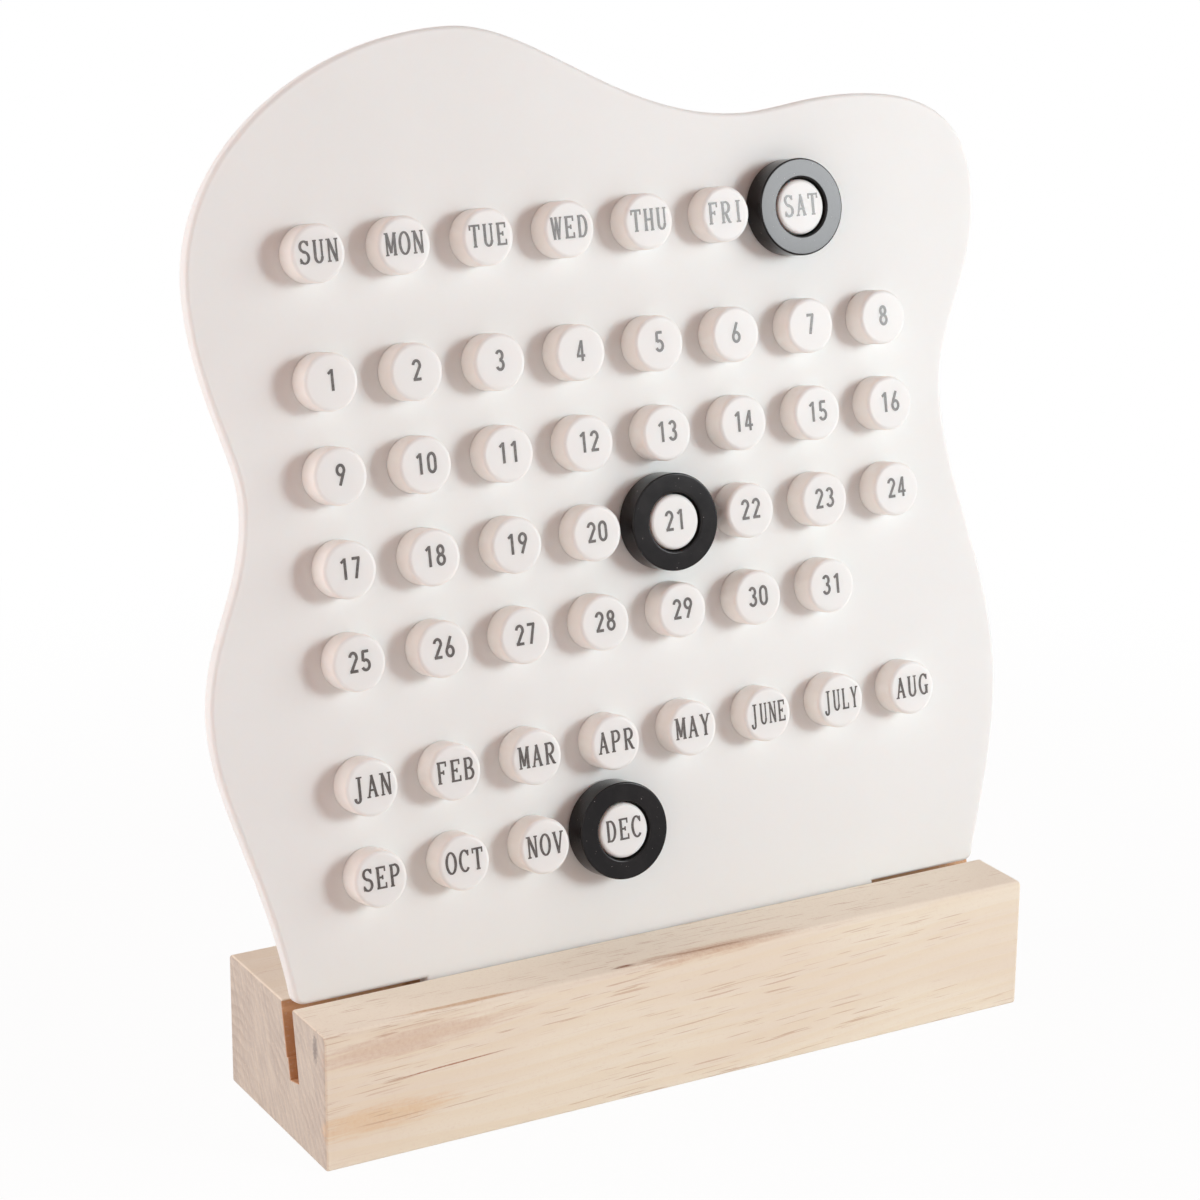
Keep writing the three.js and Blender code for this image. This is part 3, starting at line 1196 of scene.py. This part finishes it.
@dataclass(frozen=True)
class WordFace:
    """Narrow capitals with thin slab serifs."""

    stem: float = 13.0
    thin: float = 9.0
    serif: float = 6.5

    def _post(self, x: float, low: float = 0, high: float = 100, width: float = 0) -> PenStroke:
        """An upright stroke centred on x."""
        return bar(x, low, x, high, width or self.stem)

    def _slab(self, x: float, y: float, half: float = 9) -> PenStroke:
        """A level serif centred on x, on the baseline side or the top side of y."""
        level = y + self.serif / 2 if y < 50 else y - self.serif / 2
        return bar(x - half, level, x + half, level, self.serif)

    def _arm(self, x0: float, x1: float, y: float) -> PenStroke:
        """A level stroke."""
        return bar(x0, y, x1, y, self.thin)

    def _beak(self, x: float, low: float, high: float) -> PenStroke:
        """The upright end of an arm or a bow."""
        return bar(x, low, x, high, self.serif + 1)

    def strokes(self, letter: str) -> list[PenStroke]:
        """The strokes of one capital.

        Args:
            letter: The capital.

        Returns:
            Its strokes, in hundredths of its height.
        """
        post, slab, arm, beak = self._post, self._slab, self._arm, self._beak
        stem, thin = self.stem, self.thin
        top, foot = 100 - thin / 2, thin / 2
        tall = [post(13), arm(4, 46, top), beak(46, 76, 100), arm(13, 34, 51), beak(34, 41, 61)]
        bowl = [arm(4, 28, top), arm(13, 28, 47), bow((27, 72), (18.5, 24.7), -90, 90, stem, thin)]
        shapes = {
            "A": [bar(29, 99, 9, 0, thin), bar(27, 100, 46, 0, stem), arm(15, 40, 33), slab(9, 0),
                  slab(46, 0)],
            "B": [post(12), arm(4, 27, top), arm(12, 28, 52), arm(4, 28, foot),
                  bow((25, 74.5), (17, 22), -90, 90, stem, thin),
                  bow((26, 28), (20, 24.5), -90, 90, stem, thin)],
            "C": [bow((29, 50), (22, 47), 40, 318, stem, thin), beak(47, 71, 97)],
            "D": [post(12), arm(4, 24, top), arm(4, 24, foot),
                  bow((23, 50), (23.5, 46.5), -90, 90, stem, thin)],
            "E": tall + [arm(4, 49, foot), beak(49, 0, 26)],
            "F": tall + [slab(13, 0, 10)],
            "G": [bow((28, 50), (21.5, 47), 42, 302, stem, thin), beak(45, 72, 97), post(43, 4, 44, stem),
                  bar(33, 43, 54, 43, self.serif)],
            "H": [post(12), post(44), arm(12, 44, 51), slab(12, 0), slab(12, 100), slab(44, 0),
                  slab(44, 100)],
            "I": [post(28), slab(28, 0, 12), slab(28, 100, 12)],
            "J": [post(33, 2, 100), bow((21.5, 3), (11.5, 15), -185, 0, stem, thin + 1), slab(33, 100, 14),
                  bar(10, -2, 10, 7, stem)],
            "L": [post(14), slab(14, 100, 10), arm(4, 48, foot), beak(48, 0, 28)],
            "M": [post(9, 0, 100, thin), post(47), bar(10, 100, 28, 12, stem), bar(28, 12, 46, 100, thin),
                  slab(9, 0, 8), slab(47, 0), slab(6, 100, 7), slab(50, 100, 7)],
            "N": [post(11, 0, 100, thin), post(46, 0, 100, thin), bar(11, 99, 45, 1, stem), slab(11, 0),
                  slab(7, 100, 8), slab(46, 100)],
            "O": full_bow((28, 50), (22, 47), stem, thin),
            "P": [post(13), slab(13, 0, 10)] + bowl,
            "R": [post(13), slab(13, 0)] + bowl + [bar(26, 47, 45, 3, stem),
                                                   bar(43, 2.5, 55, 2.5, self.serif)],
            "S": [bow((28, 75), (18, 22), 20, 250, stem, thin),
                  bow((27.5, 27), (19, 24), 70, -160, stem, thin),
                  bar(20, 54.5, 35, 49.2, stem), beak(45.5, 76, 98), beak(9.5, 3, 26)],
            "T": [post(28), slab(28, 0, 10), arm(5, 51, top), beak(5, 76, 100), beak(51, 76, 100)],
            "U": [post(12, 27), post(44, 27, 100, thin), bow((28, 27), (16, 24), 180, 360, stem, thin),
                  slab(12, 100), slab(44, 100)],
            "V": [bar(9, 100, 28.5, 0, stem), bar(27.5, 0, 47, 100, thin), slab(9, 100), slab(47, 100)],
            "W": [bar(5, 100, 17, 0, stem - 1), bar(17, 0, 28, 97, thin - 1), bar(27, 97, 38, 0, stem - 1),
                  bar(38, 0, 50, 100, thin - 1), slab(5, 100, 6), slab(27, 100, 6), slab(50, 100, 6)],
            "Y": [post(28, 0, 50), bar(9, 100, 28, 46, stem), bar(28, 46, 47, 100, thin), slab(9, 100),
                  slab(47, 100), slab(28, 0, 10)],
        }
        return shapes[letter]


@dataclass(frozen=True)
class NumberFace:
    """Narrow plain figures of one stroke width."""

    stroke: float = 14.0

    def strokes(self, digit: str) -> list[PenStroke]:
        """The strokes of one figure.

        Args:
            digit: The figure.

        Returns:
            Its strokes, in hundredths of its height.
        """
        w = self.stroke
        edge = w / 2

        def curve(x: float, y: float, wide: float, tall: float, start: float, end: float) -> PenStroke:
            """A round stroke of the figures' one width."""
            return bow((x, y), (wide, tall), start, end, w, w)

        shapes = {
            "0": [curve(24, 67, 17.5, 26.8, 0, 180), curve(24, 33, 17.5, 26.8, 180, 360),
                  bar(6.5, 32, 6.5, 68, w), bar(41.5, 32, 41.5, 68, w)],
            "1": [bar(29, 0, 29, 100, w), bar(28, 95, 10, 79, w * 0.9)],
            "2": [curve(24, 71.5, 17, 22.2, 172, -28), bar(38.5, 62.5, 9.5, 7, w),
                  bar(3, edge, 44, edge, w)],
            "3": [curve(23, 73.2, 15.5, 20.5, 158, -95), curve(23, 28.6, 17.5, 22.3, 92, -160)],
            "4": [bar(31, 0, 31, 100, w * 0.9), bar(29, 98, 6, 28, w * 0.85), bar(1, 26, 46, 26, w * 0.9)],
            "5": [bar(9, 94, 41, 94, w), bar(12, 96, 10, 49, w), curve(22.5, 30, 18.5, 23.7, 132, -156)],
            "6": [*full_bow((24, 29), (17.5, 22.8), w, w), bar(32, 100, 9, 40, w)],
            "7": [bar(4, 94, 44, 94, w), bar(39, 96, 19, 0, w)],
            "8": full_bow((24, 73.6), (14.5, 20.2), w, w) + full_bow((24, 28.6), (17.5, 22.4), w, w),
            "9": [*full_bow((24, 71), (17.5, 22.8), w, w), bar(39, 60, 16, 0, w)],
        }
        return shapes[digit]


@dataclass
class PegLegends:
    """The printed weekdays, dates and months, as a thin skin of ink on the pegs' faces."""

    lean: Lean
    layout: PegLayout
    face_height: float = 6.4
    ink_height: float = 0.035
    ink_sunk: float = 0.02
    word_height: float = 4.9
    number_height: float = 4.6
    word_advance: float = 66.0
    long_word_advance: float = 50.0
    number_advance: float = 62.0
    glyph_width: float = 56.0
    number_width: float = 48.0
    lift: float = 0.4
    days: int = 31
    word_face: WordFace = WordFace()
    number_face: NumberFace = NumberFace()
    finish: PrintingInk = PrintingInk()

    def rows(self) -> list[list[str]]:
        """The legends of each row, from the lowest up.

        Returns:
            A list of legends for each row.
        """
        columns, end = self.layout.columns, self.days + 1
        dates = [[str(day) for day in range(first, min(first + columns, end))]
                 for first in reversed(range(1, end, columns))]
        return ["SEP OCT NOV DEC".split(), "JAN FEB MAR APR MAY JUNE JULY AUG".split(), *dates,
                "SUN MON TUE WED THU FRI SAT".split()]

    def build(self) -> bpy.types.Object:
        """Builds all the legends as one piece and hands it to its body.

        Returns:
            The finished legends.
        """
        shape = bmesh.new()
        for row, legends in enumerate(self.rows()):
            for column, legend in enumerate(legends):
                self._print(shape, legend, Vector(self.layout.spot(row, column)))
        mesh = mesh_from(shape, "peg_legends")
        mesh.transform(self.lean.matrix())
        piece = piece_from("peg_legends", mesh, self.finish.material())
        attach(piece, "board")
        return piece

    def _print(self, shape: bmesh.types.BMesh, legend: str, centre: Vector) -> None:
        """Prints one legend on its peg.

        Args:
            shape: The mesh that takes the ink.
            legend: The letters or figures.
            centre: The peg's centre in millimetres.
        """
        kind = Lettering.NUMBER if legend.isdigit() else Lettering.WORD
        if kind is Lettering.NUMBER:
            face, height = self.number_face, self.number_height
            advance, width, squeeze = self.number_advance, self.number_width, 1.0
        else:
            face, height = self.word_face, self.word_height
            advance = self.long_word_advance if len(legend) > 3 else self.word_advance
            squeeze = advance / self.word_advance
            width = self.glyph_width * squeeze
        unit = height / 100
        run = (len(legend) - 1) * advance + width
        for index, letter in enumerate(legend):
            left = Vector((index * advance - run / 2, -50.0))
            flat = [[(Vector((p.x * squeeze, p.y)) + left) * unit + centre + Vector((0, self.lift))
                     for p in stroke.outline()] for stroke in face.strokes(letter)]
            self._raise(shape, flat)

    def _raise(self, shape: bmesh.types.BMesh, outlines: Sequence[Sequence[Vector]]) -> None:
        """Joins overlapping outlines into one flat shape and gives it the ink's thickness.

        Args:
            shape: The mesh that takes the ink.
            outlines: The strokes' closed outlines in millimetres.
        """
        points: list[Vector] = []
        loops = []
        for outline in outlines:
            loops.append(list(range(len(points), len(points) + len(outline))))
            points.extend(outline)
        flat, _, faces, _, _, sources = delaunay_2d_cdt(points, [], loops, 0, JOIN_TOLERANCE)
        kept = [face for face, source in zip(faces, sources) if source]
        levels = (self.face_height - self.ink_sunk, self.face_height + self.ink_height)
        low, high = ([shape.verts.new(Vector((p.x, p.y, level)) * MM) for p in flat] for level in levels)
        edges = {(face[i - 1], face[i]) for face in kept for i in range(len(face))}
        for face in kept:
            shape.faces.new([high[i] for i in face])
            shape.faces.new([low[i] for i in reversed(face)])
        for start, end in edges:
            if (end, start) not in edges:
                shape.faces.new([low[start], low[end], high[end], high[start]])
        bmesh.ops.delete(shape, geom=[v for v in low + high if not v.link_faces], context="VERTS")


@dataclass
class MarkerRings:
    """The three black rings that mark the weekday, the date and the month."""

    lean: Lean
    layout: PegLayout
    outer_radius: float = 11.0
    bore_radius: float = 6.65
    height: float = 6.4
    rear: float = 0.3
    edge_round: float = 0.4
    edge_facets: int = 5
    segments: int = 144
    finish: BlackPlastic = BlackPlastic()

    def build(self) -> list[bpy.types.Object]:
        """Builds each ring on its peg and hands it to its body.

        Returns:
            The finished rings.
        """
        seats = {"weekday": (6, 6), "date": (3, 4), "month": (0, 3)}
        values = {"Outer Radius": self.outer_radius * MM, "Bore Radius": self.bore_radius * MM,
                  "Height": self.height * MM, "Edge Round": self.edge_round * MM,
                  "Edge Facets": self.edge_facets, "Segments": self.segments,
                  "Material": self.finish.material()}
        tree = self._tree(values)
        return [self._ring(name, self.layout.spot(*seat), tree, values) for name, seat in seats.items()]

    def _ring(self, name: str, spot: Point, tree: bpy.types.NodeTree,
              values: dict[str, object]) -> bpy.types.Object:
        """Builds one ring.

        Args:
            name: What it marks.
            spot: Its peg's centre in millimetres.
            tree: The tree that shapes a ring.
            values: What the tree's named inputs get.

        Returns:
            The ring.
        """
        piece = piece_from(f"{name}_marker", bpy.data.meshes.new(name), values["Material"])
        shaped_by_tree(piece, tree, values)
        centre = Vector((*spot, self.rear + self.height / 2)) * MM
        piece.data.transform(self.lean.matrix() @ Matrix.Translation(centre))
        softened(piece)
        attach(piece, f"{name}_ring")
        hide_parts(f"{name}_ring")
        return piece

    @staticmethod
    def _tree(values: dict[str, object]) -> bpy.types.NodeTree:
        """Builds the tree that sweeps a rounded section round a circle.

        Args:
            values: What the tree's named inputs will get.

        Returns:
            The tree.
        """
        tree = ShapeTree("ring_collar", values)
        given = tree.given
        outer, bore = given.out("Outer Radius"), given.out("Bore Radius")
        section = tree.node("GeometryNodeCurvePrimitiveQuadrilateral", {},
                            {"Width": outer - bore, "Height": given.out("Height")})
        eased = tree.node("GeometryNodeFilletCurve", {"mode": "POLY"},
                          {"Curve": section, "Count": given.out("Edge Facets"),
                           "Radius": given.out("Edge Round")})
        circle = tree.node("GeometryNodeCurvePrimitiveCircle", {"mode": "RADIUS"},
                           {"Resolution": given.out("Segments"), "Radius": (outer + bore) * 0.5})
        collar = tree.node("GeometryNodeCurveToMesh", {}, {"Curve": circle, "Profile Curve": eased})
        return tree.end(collar)


# Studio

def direction(azimuth: float, elevation: float) -> Vector:
    """The direction to a place from the object, in degrees from the front to the right and up."""
    turn, rise = math.radians(azimuth), math.radians(elevation)
    return Vector((math.sin(turn) * math.cos(rise), -math.cos(turn) * math.cos(rise), math.sin(rise)))


@dataclass(frozen=True)
class Lamp:
    """A square soft lamp that looks at the object's middle, in millimetres, degrees and watts."""

    name: str
    azimuth: float
    elevation: float
    size: float
    power: float
    colour: Colour
    distance: float = 1150.0
    aim_height: float = 110.0

    def build(self) -> None:
        """Places the lamp."""
        away = direction(self.azimuth, self.elevation)
        aim = Vector((0.0, 0.0, self.aim_height))
        data = bpy.data.lights.new(self.name, "AREA")
        data.size = self.size * MM
        data.energy = self.power
        data.color = self.colour
        lamp = bpy.data.objects.new(self.name, data)
        lamp.matrix_world = (Matrix.Translation((aim + away * self.distance) * MM)
                             @ away.to_track_quat("Z", "Y").to_matrix().to_4x4())
        bpy.context.scene.collection.objects.link(lamp)


@dataclass
class Studio:
    """The camera at the photograph's angle, the soft lamps, the white room and the floor.

    The eye, the lens, the sensor, the nearest distance that the camera sees and the floor's reach
    are in millimetres.
    """

    eye: Place = (-339.9, -578.5, 316.1)
    azimuth: float = -29.658
    elevation: float = 17.294
    roll: float = 0.484
    lens: float = 94.76
    sensor: float = 36.0
    glow: Colour = (1.0, 0.55, 0.44)
    glow_strength: float = 0.29
    nearest: float = 10.0
    floor_reach: float = 4000.0
    lamps: tuple[Lamp, ...] = (
        Lamp("key_lamp", 38.0, 15.5, 260.0, 5.35, (0.905, 0.978, 1.0)),
        Lamp("side_softbox", 56.0, 16.0, 640.0, 4.12, (0.888, 0.99, 1.0)),
        Lamp("left_fill", -62.0, 13.0, 800.0, 1.3, (1.0, 0.8, 0.71)),
        Lamp("left_rear_fill", -105.0, 16.0, 800.0, 7.3, (0.97, 0.98, 0.985)),
        Lamp("rear_fill", 180.0, 50.0, 900.0, 2.2, (0.96, 0.99, 1.0)),
    )

    def build(self) -> None:
        """Builds everything that isn't part of the object."""
        bpy.context.scene.view_settings.view_transform = "Standard"
        self._camera()
        for lamp in self.lamps:
            lamp.build()
        self._room()
        self._floor()

    def _camera(self) -> None:
        """Places the camera."""
        back = direction(self.azimuth, self.elevation)
        right = Vector((0, 0, 1)).cross(back).normalized()
        up = back.cross(right)
        level = Matrix((right, up, back)).transposed().to_4x4()
        data = bpy.data.cameras.new("photo_camera")
        data.lens = self.lens
        data.sensor_width = self.sensor
        data.clip_start = self.nearest * MM
        camera = bpy.data.objects.new("photo_camera", data)
        camera.matrix_world = (Matrix.Translation(Vector(self.eye) * MM) @ level
                               @ Matrix.Rotation(math.radians(self.roll), 4, "Z"))
        bpy.context.scene.collection.objects.link(camera)
        bpy.context.scene.camera = camera

    def _room(self) -> None:
        """A white room for the camera and for reflections, and a dim warm one for the light."""
        world = bpy.data.worlds.new("white_room")
        bpy.context.scene.world = world
        world.use_nodes = True
        tree = NodeBuilder(world.node_tree)
        white = tree.node("ShaderNodeBackground", {}, {"Color": (1.0, 1.0, 1.0, 1.0), "Strength": 1.0})
        dim = tree.node("ShaderNodeBackground", {},
                        {"Color": (*self.glow, 1.0), "Strength": self.glow_strength})
        mixed = tree.node("ShaderNodeMixShader", {}, {0: tree.viewed(), 1: dim, 2: white})
        tree.node("ShaderNodeOutputWorld", {}, {"Surface": mixed})

    def _floor(self) -> None:
        """A wide floor under the block."""
        shape = bmesh.new()
        bmesh.ops.create_grid(shape, x_segments=8, y_segments=8, size=self.floor_reach * MM)
        mesh = mesh_from(shape, "studio_floor", closed=False)
        piece_from("studio_floor", mesh, PaperFloor().material())


def main() -> None:
    """Loads the frame, builds each sub-assembly and logs each piece's face count."""
    logging.basicConfig(level=logging.INFO, format="%(name)s: %(message)s")
    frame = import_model()
    Studio().build()
    lean, layout = Lean(), PegLayout()
    pieces = [
        WoodenBase(lean).build(),
        CalendarBoard(lean).build(),
        PrintedPegs(lean, layout).build(name for name in frame["nodes"] if name.startswith("peg_")),
        PegLegends(lean, layout).build(),
        *MarkerRings(lean, layout).build(),
    ]
    for piece in pieces:
        LOG.info("%s: %d faces", piece.name, len(piece.data.polygons))


if __name__ == "__main__":
    main()
